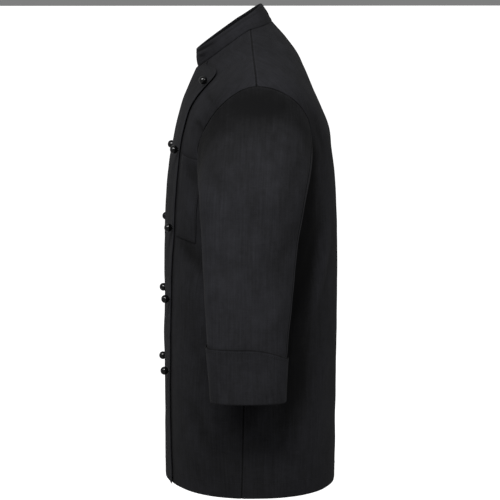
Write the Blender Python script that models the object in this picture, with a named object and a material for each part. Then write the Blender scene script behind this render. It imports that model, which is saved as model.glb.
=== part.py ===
# Long chef jacket in the hollow shape it has when worn: stand collar, double-breasted
# front with two columns of ball buttons, two-piece sleeves with turned-up cuffs.
# Metres, +Z up. The front faces -Y and the wearer's left is +X.
# The origin is on the shoulder line, level with the two points where shoulder meets collar.

import math

import bpy
import numpy as np

CM = 0.01
MM = 0.001

# ---- driving dimensions ----
CLOTH = 1.6 * MM              # panel wall
COLLAR_CLOTH = 2.2 * MM       # two layers and a stiffener
SEAM_GAP = 0.4 * MM           # clearance between sewn pieces
LAYER_STEP = CLOTH + SEAM_GAP # how far one layer lies outside another

# Centre front to the free edge of each front, at the hem, chest, top and neckline, in cm,
# with the row of the body's table where each holds.
FREE_EDGE_COLUMNS = ("name", "row", "reach")
FREE_EDGE = (
    ("hem",      0.0,  9.0),
    ("waist",    2.0,  9.8),
    ("ribs",     3.2, 10.9),
    ("chest",    5.0, 11.2),
    ("top",      6.6, 13.5),
    ("neckline", 8.0,  4.6),
)
EDGE_LIFT = 2.2 * MM          # the free edge of the over panel stands away this much
EDGE_LIFT_WIDTH = 2.2 * CM
OVER_NECK_DROP = 2.0 * MM     # the over panel's top edge clears the collar seam
BUTTON_INSET = 0.4 * CM       # free edge to the button column
BUTTON_DIAMETER = 13.5 * MM
BUTTON_NECK_DIAMETER = 5.0 * MM
BUTTON_NECK = 0.7 * MM
BUTTON_GAP = 0.5 * MM         # cloth to the flat end of a neck
BUTTON_HEIGHTS = (            # cm on the z axis, top to bottom; the right row hangs a little lower
    ("left",   1, (-8.8, -19.4, -31.9, -43.6, -55.4)),
    ("right", -1, (-8.9, -20.0, -32.1, -44.1, -55.8)),
)

COLLAR_CORNER = 1.1 * CM      # radius of the collar's front corners
COLLAR_BULGE = 1.2 * MM
COLLAR_FRONT_GAP = 0.8 * MM
COLLAR_SEAM_GAP = 0.9 * MM

POCKET_WIDTH = 5.9 * CM
POCKET_HEIGHT = 13.3 * CM
POCKET_FROM_EDGE = 0.9 * CM   # free edge of the over panel to the pocket
POCKET_TOP_Z = -19.7 * CM
POCKET_GAP = 1.2 * MM
POCKET_SLOPE = 0.7 * CM       # its mouth falls this much towards the side

# The jacket's body as closed rings, from the hem up to the neckline, in cm.
# A ring's front and back depths are measured from its own centre, and z is given
# where it crosses the centre front, the side and the centre back. "square" is the
# exponent of the super-ellipse: 2 is an ellipse, more is squarer. "square_fall" shapes
# how a slanted ring's height falls from its side to its front and back: 1 is straight.
BODY_COLUMNS = ("name", "half_width", "centre_y", "front", "back",
                "z_front", "z_side", "z_back", "square_front", "square_back", "square_fall")
BODY_RINGS = (
    ("hem",        21.6,  0.0, 13.7, 14.2, -74.1, -74.1, -74.1, 2.2, 2.3, 1.5),
    ("skirt",      21.6,  0.0, 13.7, 14.4, -59.0, -59.0, -59.0, 2.6, 2.3, 1.5),
    ("waist",      21.0,  0.0, 13.7, 14.5, -45.0, -45.0, -45.0, 2.55, 2.5, 1.5),
    ("ribs",       20.8,  0.0, 13.7, 14.4, -33.0, -33.0, -33.0, 2.4, 2.6, 1.5),
    ("underarm",   20.7,  0.0, 13.2, 14.0, -24.5, -24.5, -24.5, 2.4, 2.7, 1.5),
    ("mid_arm",    22.0,  0.0, 12.3, 13.0, -19.0, -16.3, -16.5, 2.45, 2.9, 1.5),
    ("tip",        22.3,  0.0, 11.0, 10.7, -13.4,  -8.6, -10.7, 2.4, 2.7, 1.4),
    ("shoulder",   14.4, -0.1,  9.6,  7.8,  -9.5,  -3.8,  -3.7, 2.0, 2.4, 1.15),
    ("neckline",    7.5, -0.1,  8.2,  4.0,  -6.4,  -0.2,   1.0, 2.0, 2.2, 1.1),
)
HEM_T = 0.0
UNDERARM_T = 4.0
TIP_T = 6.0
NECK_T = 8.0
SIDE_SEAM_Y = (-2.3 * CM, -0.9 * CM)     # at the hem and at the underarm

# Armhole: half widths towards the front and the back, and the height, as a share of
# the armhole's, at which each is widest.
ARMHOLE_FRONT = (8.4 * CM, 0.42)
ARMHOLE_BACK = (9.1 * CM, 0.50)

# Left arm as level rings below the armhole, in cm.
ARM_COLUMNS = ("name", "centre_x", "centre_y", "z", "half_width", "half_depth", "square")
ARM_RINGS = (
    ("biceps",   26.1, -0.9,  -27.0, 4.5, 8.15, 2.3),
    ("above",    26.2, -1.2,  -32.2, 4.4, 7.55, 2.3),
    ("elbow",    26.3, -1.4,  -38.0, 4.3, 7.10, 2.3),
    ("forearm",  26.4, -1.5,  -43.0, 4.1, 6.75, 2.3),
    ("cuff_top", 26.6, -1.65, -49.0, 3.9, 6.25, 2.4),
    ("wrist",    26.8, -1.55, -57.2, 3.6, 5.75, 2.6),
)
CAP_TENSION = 1.15
CAP_SLOPE_TOP = math.radians(66)         # how steeply the sleeve leaves the shoulder tip
CAP_SLOPE_BOTTOM = math.radians(78)
CAP_SPREAD = 0.15                        # how much it opens to the front and back there
BACK_SEAM = math.radians(72)             # seams of the sleeve, round from its outer side
FRONT_SEAM = math.radians(-125)
CUFF_HEIGHT = 8.4 * CM
CUFF_FALL_BACK = 2.0 * CM                # the turned-up edge is this much lower at the back
CUFF_STEP = CLOTH + 0.6 * MM

COLLAR_TOP = dict(half_width=6.75, centre_y=-1.3, front=7.3, back=3.45,
                  z_front=-3.5, z_side=1.6, z_back=3.9,
                  square_front=2.0, square_back=2.2, square_fall=1.0)

# ---- mesh density ----
SKIRT_ROWS = 9
ARM_STEPS = 10                           # rows up each side of the armhole
YOKE_ROWS = 5
SIDE_COLUMNS = 6                         # free edge to side seam
LAP_COLUMNS = 8                          # where the two fronts lap
BACK_COLUMNS = 18
POCKET_STEPS = 6
FAN_POWER = 1.3
SLEEVE_CAP_ROWS = 5
SLEEVE_ROWS = 6


# ---- surfaces ----
def smooth_column(values, t):
    """Catmull-Rom value of a table column at row number t."""
    last = len(values) - 1
    i = min(max(int(math.floor(t)), 0), last - 1)
    u = t - i
    p1 = values[i]
    p2 = values[i + 1]
    p0 = values[i - 1] if i > 0 else 2 * p1 - p2
    p3 = values[i + 2] if i + 2 <= last else 2 * p2 - p1
    m1 = (p2 - p0) / 2
    m2 = (p3 - p1) / 2
    return ((2 * u**3 - 3 * u**2 + 1) * p1 + (u**3 - 2 * u**2 + u) * m1
            + (3 * u**2 - 2 * u**3) * p2 + (u**3 - u**2) * m2)


def table_ring(columns, rows, t):
    """One ring of a table at row number t, in metres."""
    ring = {}
    for k, name in enumerate(columns):
        if name == "name":
            continue
        scale = 1.0 if name.startswith("square") else CM
        ring[name] = smooth_column([row[k] for row in rows], t) * scale
    return ring


def signed_power(value, power):
    return math.copysign(abs(value) ** power, value)


def ring_point(ring, phi):
    """Point of a body ring; phi is 0 at centre front and 90 degrees at the wearer's left."""
    c = math.cos(phi)
    s = math.sin(phi)
    if c >= 0:
        depth, square, z_end = ring["front"], ring["square_front"], ring["z_front"]
    else:
        depth, square, z_end = ring["back"], ring["square_back"], ring["z_back"]
    x = ring["half_width"] * signed_power(s, 2 / square)
    y = ring["centre_y"] - depth * signed_power(c, 2 / square)
    z = ring["z_side"] + (z_end - ring["z_side"]) * abs(c) ** ring["square_fall"]
    return np.array((x, y, z))


def body_ring(t):
    return table_ring(BODY_COLUMNS, BODY_RINGS, t)


def body_point(phi, t):
    return ring_point(body_ring(t), phi)


def body_normal(phi, t):
    """Outward unit normal of the body's surface."""
    d = 1e-3
    t_low = max(t - d * 4, HEM_T)
    t_high = min(t + d * 4, NECK_T)
    along = body_point(phi + d, t) - body_point(phi - d, t)
    up = body_point(phi, t_high) - body_point(phi, t_low)
    n = np.cross(along, up)
    return n / np.linalg.norm(n)


def phi_at_x(ring, x):
    """Angle in the front half of a ring where it crosses x."""
    share = min(abs(x) / ring["half_width"], 1.0)
    return math.copysign(math.asin(share ** (ring["square_front"] / 2)), x)


def phi_at_y(ring, y, side):
    """Angle on the given side (+1 left, -1 right) where a ring crosses y."""
    dy = ring["centre_y"] - y
    if dy >= 0:
        phi = math.acos(min(dy / ring["front"], 1.0) ** (ring["square_front"] / 2))
    else:
        phi = math.pi - math.acos(min(-dy / ring["back"], 1.0) ** (ring["square_back"] / 2))
    return side * phi


def smoothstep(value, low, high):
    u = min(max((value - low) / (high - low), 0.0), 1.0)
    return u * u * (3 - 2 * u)


# ---- seam lines on the body ----
def armhole_widths(share):
    """Reach of the armhole to the front and to the back at a share of its height."""
    reach = []
    for width, widest in (ARMHOLE_FRONT, ARMHOLE_BACK):
        span = 1 - widest if share > widest else widest
        u = min(abs(share - widest) / span, 1.0)
        reach.append(width * math.sqrt(1 - u * u))
    return reach


def armhole_share(angle, widest):
    """Share of the armhole's height at an angle: 0 at its top, pi at its bottom."""
    c = math.cos(angle)
    return widest + (1 - widest) * c if c > 0 else widest + widest * c


def side_phi(t, side, front):
    """Where a front (or the back) ends at the side: side seam, armhole or shoulder seam."""
    ring = body_ring(t)
    seam_y = SIDE_SEAM_Y[0] + (SIDE_SEAM_Y[1] - SIDE_SEAM_Y[0]) * min(t / UNDERARM_T, 1.0)
    if t <= UNDERARM_T:
        return phi_at_y(ring, seam_y, side)
    share = min((t - UNDERARM_T) / (TIP_T - UNDERARM_T), 1.0)
    reach_front, reach_back = armhole_widths(share)
    middle = SIDE_SEAM_Y[1] + (ring["centre_y"] - SIDE_SEAM_Y[1]) * share
    y = middle - reach_front if front else middle + reach_back
    return phi_at_y(ring, y, side)


def free_edge_x(t):
    """Distance of an overlap's free edge from the centre front."""
    for (_, row, reach), (_, next_row, next_reach) in zip(FREE_EDGE, FREE_EDGE[1:]):
        if t <= next_row:
            return (reach + (next_reach - reach) * smoothstep(t, row, next_row)) * CM
    return FREE_EDGE[-1][2] * CM


def over_lift(x, t):
    """How far the over panel lies outside the body's surface, at a distance x to the left."""
    edge = free_edge_x(t)
    layer = LAYER_STEP * smoothstep(x, -edge - 3 * CM, -edge - 0.4 * CM)
    curl = EDGE_LIFT * smoothstep(x, edge - EDGE_LIFT_WIDTH, edge)
    return layer + curl * smoothstep(NECK_T - t, 0.0, 1.0)


def flat(x, t):
    return 0.0


def lower_top(grid):
    """Bring the over panel's top edge down, clear of the collar seam, where it laps the other front."""
    edge = free_edge_x(NECK_T)
    for k, point in enumerate(grid[-1]):
        step = grid[-2][k] - point
        drop = OVER_NECK_DROP * smoothstep(point[0], -edge - 3 * CM, -edge)
        grid[-1][k] = point + step / np.linalg.norm(step) * drop


# ---- grids and shells ----
def body_rows(widest):
    """Each row's place at its middle and at its armhole end, from hem to neckline.

    Beside the armhole the rows fan out: their ends part the armhole's edge evenly."""
    rows = [(UNDERARM_T * k / SKIRT_ROWS,) * 2 for k in range(SKIRT_ROWS)]
    for k in range(ARM_STEPS + 1):
        share = armhole_share(math.pi * (1 - k / ARM_STEPS), widest)
        middle = UNDERARM_T + (TIP_T - UNDERARM_T) * k / ARM_STEPS
        rows.append((middle, UNDERARM_T + (TIP_T - UNDERARM_T) * share))
    return rows + [(TIP_T + (NECK_T - TIP_T) * k / YOKE_ROWS,) * 2 for k in range(1, YOKE_ROWS + 1)]


def fan_line(row, start, end, count, turn):
    """Angles and rows of evenly spaced points from start to end.

    turn is the way that the fan opens: 1 to the line's end, -1 to its start, 0 to both.
    The line stops half a seam gap short of the seam at each end that opens."""
    middle, edge = row
    fine = np.linspace(0.0, 1.0, 61)
    reach = {1: fine, -1: 1 - fine, 0: abs(2 * fine - 1)}[turn]
    levels = middle + (edge - middle) * reach ** FAN_POWER
    angles = start + (end - start) * fine
    points = [body_point(phi, t) for phi, t in zip(angles, levels)]
    run = np.concatenate(((0.0,), np.cumsum(np.linalg.norm(np.diff(points, axis=0), axis=1))))
    first = SEAM_GAP / 2 if turn < 1 else 0.0
    last = run[-1] - (SEAM_GAP / 2 if turn > -1 else 0.0)
    stops = np.linspace(first, last, count + 1)
    return list(zip(np.interp(stops, run, angles), np.interp(stops, run, levels)))


def lap_line(t):
    """Angles and row of points where the fronts lap, edge to edge; the last step is the lifted edge."""
    edge = phi_at_x(body_ring(t), free_edge_x(t))
    fine = np.linspace(-edge, edge, 81)
    points = [body_point(phi, t) for phi in fine]
    run = np.concatenate(((0.0,), np.cumsum(np.linalg.norm(np.diff(points, axis=0), axis=1))))
    stops = np.append(np.linspace(0.0, run[-1] - EDGE_LIFT_WIDTH, LAP_COLUMNS), run[-1])
    return [(phi, t) for phi in np.interp(stops, run, fine)]


def panel_grids(rows, line_of, lift=flat):
    """Outer and inner points of a body panel; line_of gives the angles and rows of a line."""
    outer = []
    inner = []
    for row in rows:
        faces = []
        backs = []
        for phi, t in line_of(row):
            point = body_point(phi, t)
            normal = body_normal(phi, t)
            face = point + normal * lift(point[0], t)
            faces.append(face)
            backs.append(face - normal * CLOTH)
        outer.append(faces)
        inner.append(backs)
    return outer, inner


def shell_object(name, outer, inner, material, closed=False):
    """Closed wall between two grids of points; a closed grid joins its last column to its first."""
    row_count = len(outer)
    col_count = len(outer[0])
    verts = [tuple(p) for row in outer for p in row] + [tuple(p) for row in inner for p in row]
    base = row_count * col_count

    def at(layer, i, j):
        return layer * base + i * col_count + j % col_count

    spans = col_count if closed else col_count - 1
    faces = []
    for i in range(row_count - 1):
        for j in range(spans):
            faces.append((at(0, i, j), at(0, i, j + 1), at(0, i + 1, j + 1), at(0, i + 1, j)))
            faces.append((at(1, i, j), at(1, i + 1, j), at(1, i + 1, j + 1), at(1, i, j + 1)))
    for j in range(spans):
        top = row_count - 1
        faces.append((at(0, 0, j), at(1, 0, j), at(1, 0, j + 1), at(0, 0, j + 1)))
        faces.append((at(0, top, j), at(0, top, j + 1), at(1, top, j + 1), at(1, top, j)))
    if not closed:
        end = col_count - 1
        for i in range(row_count - 1):
            faces.append((at(0, i, 0), at(0, i + 1, 0), at(1, i + 1, 0), at(1, i, 0)))
            faces.append((at(0, i, end), at(1, i, end), at(1, i + 1, end), at(0, i + 1, end)))
    return mesh_object(name, verts, faces, material)


def mesh_object(name, verts, faces, material):
    mesh = bpy.data.meshes.new(name)
    mesh.from_pydata(verts, [], faces)
    mesh.update()
    mesh.materials.append(material)
    mesh.shade_smooth()
    mesh.set_sharp_from_angle(angle=math.radians(40))
    obj = bpy.data.objects.new(name, mesh)
    bpy.context.collection.objects.link(obj)
    return obj


def make_material(name, color, roughness, sheen=0.0):
    material = bpy.data.materials.new(name)
    material.use_nodes = True
    shader = material.node_tree.nodes["Principled BSDF"]
    shader.inputs["Base Color"].default_value = (*color, 1.0)
    shader.inputs["Roughness"].default_value = roughness
    shader.inputs["Metallic"].default_value = 0.0
    shader.inputs["Sheen Weight"].default_value = sheen
    return material


# ---- the pieces ----
def make_fronts(material):
    """Both fronts. Where they lap, their points lie over each other."""
    rows = body_rows(ARMHOLE_FRONT[1])

    def over_line(row):
        lap = lap_line(row[0])
        return fan_line(row, side_phi(row[1], -1, True), lap[0][0], SIDE_COLUMNS, -1)[:-1] + lap

    def under_line(row):
        lap = lap_line(row[0])
        return lap + fan_line(row, lap[-1][0], side_phi(row[1], 1, True), SIDE_COLUMNS, 1)[1:]

    over_outer, over_inner = panel_grids(rows, over_line, over_lift)
    lower_top(over_outer)
    lower_top(over_inner)
    shell_object("front_right", over_outer, over_inner, material)
    outer, inner = panel_grids(rows, under_line)
    shell_object("front_left", outer, inner, material)
    return over_outer, outer


def make_back(material):
    def line(row):
        left = side_phi(row[1], 1, False)
        right = 2 * math.pi + side_phi(row[1], -1, False)
        return fan_line(row, left, right, BACK_COLUMNS, 0)

    outer, inner = panel_grids(body_rows(ARMHOLE_BACK[1]), line)
    shell_object("back", outer, inner, material)


def make_collar(material):
    top = {name: value if name.startswith("square") else value * CM for name, value in COLLAR_TOP.items()}
    neck = body_ring(NECK_T)
    start = phi_at_x(neck, COLLAR_FRONT_GAP)
    angles = np.linspace(start, 2 * math.pi - start, 37)
    points = [ring_point(neck, phi) for phi in angles]
    run = np.concatenate(((0.0,), np.cumsum(np.linalg.norm(np.diff(points, axis=0), axis=1))))
    outer = []
    inner = []
    for share in (0.0, 0.25, 0.5, 0.75, 1.0):
        outer_row = []
        inner_row = []
        for k, phi in enumerate(angles):
            low = ring_point(neck, phi)
            high = ring_point(top, phi)
            rise = high - low
            height = np.linalg.norm(rise)
            from_end = min(run[k], run[-1] - run[k])
            short = max(COLLAR_CORNER - from_end, 0.0)
            cut = COLLAR_CORNER - math.sqrt(COLLAR_CORNER**2 - short**2)
            reach = (height - cut - COLLAR_SEAM_GAP) * share + COLLAR_SEAM_GAP
            along = ring_point(neck, phi + 1e-3) - ring_point(neck, phi - 1e-3)
            normal = np.cross(along, rise)
            normal = normal / np.linalg.norm(normal)
            bulge = COLLAR_BULGE * math.sin(math.pi * share)
            face = low + rise / height * reach + normal * bulge
            outer_row.append(face)
            inner_row.append(face - normal * COLLAR_CLOTH)
        outer.append(outer_row)
        inner.append(inner_row)
    shell_object("collar", outer, inner, material)


# Arms: made for the wearer's left and mirrored for the right.
def armhole_point(angle):
    """Point of the left armhole: 0 at the shoulder tip, positive round to the back."""
    front = angle < 0
    widest = ARMHOLE_FRONT[1] if front else ARMHOLE_BACK[1]
    share = armhole_share(abs(angle), widest)
    t = UNDERARM_T + (TIP_T - UNDERARM_T) * share
    return body_point(side_phi(t, 1, front), t)


def arm_ring_point(t, angle):
    ring = table_ring(ARM_COLUMNS, ARM_RINGS, t)
    x = ring["centre_x"] + ring["half_width"] * signed_power(math.cos(angle), 2 / ring["square"])
    y = ring["centre_y"] + ring["half_depth"] * signed_power(math.sin(angle), 2 / ring["square"])
    return np.array((x, y, ring["z"]))


def sleeve_point(angle, v):
    """Sleeve surface: v from 0 to 1 is the cap, and above 1 the arm's table row v - 1."""
    if v >= 1:
        return arm_ring_point(v - 1, angle)
    start = armhole_point(angle)
    end = arm_ring_point(0, angle)
    low = (1 - math.cos(angle)) / 2
    slope = CAP_SLOPE_TOP + (CAP_SLOPE_BOTTOM - CAP_SLOPE_TOP) * low
    leave = np.array((math.cos(slope), CAP_SPREAD * math.sin(angle), -math.sin(slope)))
    leave = leave / np.linalg.norm(leave)
    chord = np.linalg.norm(end - start) * CAP_TENSION
    start = start + leave * SEAM_GAP * 1.5
    arrive = arm_ring_point(0.05, angle) - arm_ring_point(0, angle)
    arrive = arrive / np.linalg.norm(arrive)
    return ((2 * v**3 - 3 * v**2 + 1) * start + (v**3 - 2 * v**2 + v) * leave * chord
            + (3 * v**2 - 2 * v**3) * end + (v**3 - v**2) * arrive * chord)


def sleeve_normal(angle, v):
    d = 2e-3
    last = len(ARM_RINGS)
    along = sleeve_point(angle + d, v) - sleeve_point(angle - d, v)
    down = sleeve_point(angle, min(v + d, last)) - sleeve_point(angle, max(v - d, 0.0))
    n = np.cross(down, along)
    return n / np.linalg.norm(n)


def sleeve_grids(angles, levels):
    """Outer and inner faces of a sleeve's cloth between two seams."""
    outer = []
    inner = []
    for v in levels:
        faces = []
        backs = []
        for angle in angles:
            point = sleeve_point(angle, v)
            normal = sleeve_normal(angle, v)
            faces.append(point)
            backs.append(point - normal * CLOTH)
        outer.append(faces)
        inner.append(backs)
    return outer, inner


def mirrored(grid):
    """The same grid on the other side of the body, its columns turned about."""
    return [[point * (-1, 1, 1) for point in reversed(row)] for row in grid]


def seam_angles(start, end):
    """Angles between two sleeve seams on the armhole's own steps, half a gap inside them."""
    step = math.pi / ARM_STEPS
    first = math.floor(start / step + 0.6) + 1
    last = math.ceil(end / step - 0.6) - 1
    inset = SEAM_GAP / 2 / (6 * CM)
    return [start + inset] + [step * k for k in range(first, last + 1)] + [end - inset]


def make_sleeves(material):
    cap = [k / SLEEVE_CAP_ROWS for k in range(SLEEVE_CAP_ROWS)]
    arm = [1 + (len(ARM_RINGS) - 1) * k / SLEEVE_ROWS for k in range(SLEEVE_ROWS + 1)]
    levels = list(reversed(cap + arm))
    parts = (("upper", seam_angles(FRONT_SEAM, BACK_SEAM)),
             ("under", seam_angles(BACK_SEAM, FRONT_SEAM + 2 * math.pi)))
    for part, angles in parts:
        wrapped = [a if a <= math.pi else a - 2 * math.pi for a in angles]
        outer, inner = sleeve_grids(wrapped, levels)
        shell_object("sleeve_left_" + part, outer, inner, material)
        shell_object("sleeve_right_" + part, mirrored(outer), mirrored(inner), material)


def make_cuffs(material):
    """Turned-up bands round the sleeves' ends, lower at the back."""
    z_column = ARM_COLUMNS.index("z")
    last = len(ARM_RINGS)
    per_row = (ARM_RINGS[-2][z_column] - ARM_RINGS[-1][z_column]) * CM
    count = 2 * ARM_STEPS
    angles = [math.pi * (2 * k / count - 1) for k in range(1, count + 1)]
    outer = []
    inner = []
    for share in (0.0, 1 / 3, 2 / 3, 1.0):
        faces = []
        backs = []
        for angle in angles:
            height = CUFF_HEIGHT - CUFF_FALL_BACK * max(math.sin(angle), 0.0) ** 1.5
            v = last - height * share / per_row
            point = sleeve_point(angle, v)
            normal = sleeve_normal(angle, v)
            faces.append(point + normal * CUFF_STEP)
            backs.append(point + normal * (CUFF_STEP - CLOTH))
        outer.append(faces)
        inner.append(backs)
    shell_object("cuff_left", outer, inner, material, closed=True)
    shell_object("cuff_right", mirrored(outer), mirrored(inner), material, closed=True)


def grid_point(grid, row, column):
    """Point on a grid at a fractional row and column."""
    i = min(int(row), len(grid) - 2)
    j = min(int(column), len(grid[0]) - 2)
    u = row - i
    v = column - j
    low = grid[i][j] * (1 - v) + grid[i][j + 1] * v
    high = grid[i + 1][j] * (1 - v) + grid[i + 1][j + 1] * v
    return low * (1 - u) + high * u


def grid_normal(grid, row, column):
    """Direction out of a grid at a fractional row and column."""
    d = 0.1
    along = grid_point(grid, row, column + d) - grid_point(grid, row, column - d)
    up = grid_point(grid, row + d, column) - grid_point(grid, row - d, column)
    normal = np.cross(along, up)
    return normal / np.linalg.norm(normal)


def pocket_place(grid, across, z):
    """Fractional row and column on the under front, from the way across the pocket and a height."""
    low = 0.0
    high = float(len(grid) - 1)
    for _ in range(40):
        row = (low + high) / 2
        first = grid_point(grid, row, LAP_COLUMNS)
        second = grid_point(grid, row, LAP_COLUMNS + 1)
        column = LAP_COLUMNS + across / np.linalg.norm(second - first)
        if grid_point(grid, row, column)[2] < z:
            low = row
        else:
            high = row
    return row, column


def make_pocket(front, material):
    """Patch pocket made from the under front's points, moved out."""
    outer = []
    inner = []
    for i in range(POCKET_STEPS + 1):
        faces = []
        backs = []
        for j in range(POCKET_STEPS + 1):
            share = j / POCKET_STEPS
            mouth = POCKET_TOP_Z - POCKET_SLOPE * share
            z = mouth - POCKET_HEIGHT * (1 - i / POCKET_STEPS)
            row, column = pocket_place(front, POCKET_FROM_EDGE + POCKET_WIDTH * share, z)
            normal = grid_normal(front, row, column)
            face = grid_point(front, row, column) + normal * (CLOTH + POCKET_GAP)
            faces.append(face)
            backs.append(face - normal * CLOTH)
        outer.append(faces)
        inner.append(backs)
    shell_object("pocket_breast", outer, inner, material)


def make_button(name, foot, normal, material):
    """Ball on a short neck, turned about the normal of the cloth it sits on."""
    radius = BUTTON_DIAMETER / 2
    neck = BUTTON_NECK_DIAMETER / 2
    segments = 12
    bands = 7
    join = math.asin(neck / radius)
    profile = [(neck, 0.0)]
    centre = BUTTON_NECK + radius * math.cos(join)
    for k in range(bands):
        turn = join + (math.pi - join) * k / bands
        profile.append((radius * math.sin(turn), centre - radius * math.cos(turn)))
    side = np.cross(normal, (0.0, 0.0, 1.0))
    side = side / np.linalg.norm(side)
    other = np.cross(normal, side)
    verts = []
    for r, height in profile:
        for k in range(segments):
            a = 2 * math.pi * k / segments
            verts.append(tuple(foot + normal * height + (side * math.cos(a) + other * math.sin(a)) * r))
    verts.append(tuple(foot + normal * (centre + radius)))
    tip = len(verts) - 1
    faces = [tuple(reversed(range(segments)))]
    for i in range(len(profile) - 1):
        for k in range(segments):
            n = (k + 1) % segments
            a = i * segments
            faces.append((a + k, a + n, a + segments + n, a + segments + k))
    a = (len(profile) - 1) * segments
    for k in range(segments):
        faces.append((a + k, a + (k + 1) % segments, tip))
    return mesh_object(name, verts, faces, material)


def row_at_height(side, z):
    """Row number at which a button column reaches a height."""
    low = HEM_T
    high = NECK_T
    for _ in range(40):
        t = (low + high) / 2
        if body_point(button_phi(side, t), t)[2] < z:
            low = t
        else:
            high = t
    return t


def button_phi(side, t):
    return phi_at_x(body_ring(t), side * (free_edge_x(t) - BUTTON_INSET))


def button_place(grid, x, z):
    """Fractional row and column on the over front, from the way across and the height."""
    low = 0.0
    high = float(len(grid) - 1)
    for _ in range(30):
        row = (low + high) / 2
        left = 0.0
        right = float(len(grid[0]) - 1)
        for _ in range(30):
            column = (left + right) / 2
            if grid_point(grid, row, column)[0] < x:
                left = column
            else:
                right = column
        if grid_point(grid, row, column)[2] < z:
            low = row
        else:
            high = row
    return row, column


def make_buttons(front, material):
    for side_name, side, heights in BUTTON_HEIGHTS:
        for number, height in enumerate(heights, start=1):
            t = row_at_height(side, height * CM)
            x = side * (free_edge_x(t) - BUTTON_INSET)
            row, column = button_place(front, x, height * CM)
            normal = grid_normal(front, row, column)
            foot = grid_point(front, row, column) + normal * BUTTON_GAP
            make_button("button_%s_%d" % (side_name, number), foot, normal, material)


def main():
    for obj in list(bpy.data.objects):
        bpy.data.objects.remove(obj, do_unlink=True)
    cloth = make_material("black_twill", (0.016, 0.016, 0.019), 0.85, 0.25)
    collar_cloth = make_material("black_twill_collar", (0.016, 0.016, 0.019), 0.85, 0.25)
    sleeve_cloth = make_material("black_twill_sleeve", (0.018, 0.018, 0.021), 0.85, 0.25)
    pocket_cloth = make_material("black_twill_pocket", (0.016, 0.016, 0.019), 0.85, 0.25)
    ball = make_material("black_gloss", (0.004, 0.004, 0.004), 0.15)
    make_back(cloth)
    over_front, under_front = make_fronts(cloth)
    make_collar(collar_cloth)
    make_sleeves(sleeve_cloth)
    make_cuffs(sleeve_cloth)
    make_pocket(under_front, pocket_cloth)
    make_buttons(over_front, ball)


main()
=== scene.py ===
import bpy
import math
import numpy as np
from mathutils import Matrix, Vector


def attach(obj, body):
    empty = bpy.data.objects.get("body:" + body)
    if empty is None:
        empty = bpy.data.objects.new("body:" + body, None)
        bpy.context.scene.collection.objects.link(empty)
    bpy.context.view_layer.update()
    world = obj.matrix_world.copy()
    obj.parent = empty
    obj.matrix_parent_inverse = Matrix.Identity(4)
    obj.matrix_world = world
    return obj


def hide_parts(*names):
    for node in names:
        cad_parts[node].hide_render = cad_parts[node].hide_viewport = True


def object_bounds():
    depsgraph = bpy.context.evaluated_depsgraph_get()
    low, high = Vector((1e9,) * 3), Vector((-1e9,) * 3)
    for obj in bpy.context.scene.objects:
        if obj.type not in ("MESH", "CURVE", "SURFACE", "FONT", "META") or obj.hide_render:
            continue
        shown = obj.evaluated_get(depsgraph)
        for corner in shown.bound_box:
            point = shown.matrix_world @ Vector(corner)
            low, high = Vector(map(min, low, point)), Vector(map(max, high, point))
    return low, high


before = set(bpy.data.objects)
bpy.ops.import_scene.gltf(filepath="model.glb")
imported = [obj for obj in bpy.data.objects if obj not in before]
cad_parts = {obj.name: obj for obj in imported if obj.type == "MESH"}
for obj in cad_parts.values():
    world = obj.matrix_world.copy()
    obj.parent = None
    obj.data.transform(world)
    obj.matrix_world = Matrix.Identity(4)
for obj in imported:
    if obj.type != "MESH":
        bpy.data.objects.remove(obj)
cadLow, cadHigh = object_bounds()
cm = 0.01
mm = 0.001

# Chef jacket in black twill. The front faces -Y and the wearer's left is +X.
# The tables below are the jacket's own sizes in cm; the pieces' cloth is built fine on them.
jacket = dict(
    cloth=1.6 * mm,
    seamGap=0.4 * mm,
    edgeLift=2.2 * mm,          # the free edge stands off the front beneath
    edgeLiftWidth=2.2 * cm,
    sideSeamY=(-2.3, -0.9),
    armholeFront=(8.4, 0.42),   # reach, and the share of its height where it is widest
    armholeBack=(9.1, 0.50),
    underarm=4.0,
    tip=6.0,
    neck=8.0,
)
bodyTable = dict(
    columns=("halfWidth", "centreY", "front", "back", "zFront", "zSide", "zBack",
             "squareFront", "squareBack", "squareFall"),
    rings=(
        (21.6,  0.0, 13.7, 14.2, -74.1, -74.1, -74.1, 2.2, 2.3, 1.5),    # hem
        (21.6,  0.0, 13.7, 14.4, -59.0, -59.0, -59.0, 2.6, 2.3, 1.5),    # skirt
        (21.0,  0.0, 13.7, 14.5, -45.0, -45.0, -45.0, 2.55, 2.5, 1.5),    # waist
        (20.8,  0.0, 13.7, 14.4, -33.0, -33.0, -33.0, 2.4, 2.6, 1.5),    # ribs
        (20.7,  0.0, 13.2, 14.0, -24.5, -24.5, -24.5, 2.4, 2.7, 1.5),    # underarm
        (22.0,  0.0, 12.3, 13.0, -19.0, -16.3, -16.5, 2.45, 2.9, 1.5),   # middle of the armhole
        (22.3,  0.0, 11.0, 10.7, -13.4, -8.6, -10.7, 2.4, 2.7, 1.4),     # shoulder tip
        (14.4, -0.1,  9.6,  7.8,  -9.5, -3.8, -3.7, 2.0, 2.4, 1.15),     # shoulder
        (7.5,  -0.1,  8.2,  4.0,  -6.4, -0.2, 1.0, 2.0, 2.2, 1.1),       # neckline
    ),
)
armTable = dict(
    columns=("centreX", "centreY", "z", "halfWidth", "halfDepth", "square"),
    rings=(
        (26.1, -0.9,  -27.0, 4.5, 8.15, 2.3),    # biceps
        (26.2, -1.2,  -32.2, 4.4, 7.55, 2.3),    # above the elbow
        (26.3, -1.4,  -38.0, 4.3, 7.10, 2.3),    # elbow
        (26.4, -1.5,  -43.0, 4.1, 6.75, 2.3),    # forearm
        (26.6, -1.65, -49.0, 3.9, 6.25, 2.4),    # top of the cuff
        (26.8, -1.55, -57.2, 3.6, 5.75, 2.6),    # wrist
    ),
)
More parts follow.
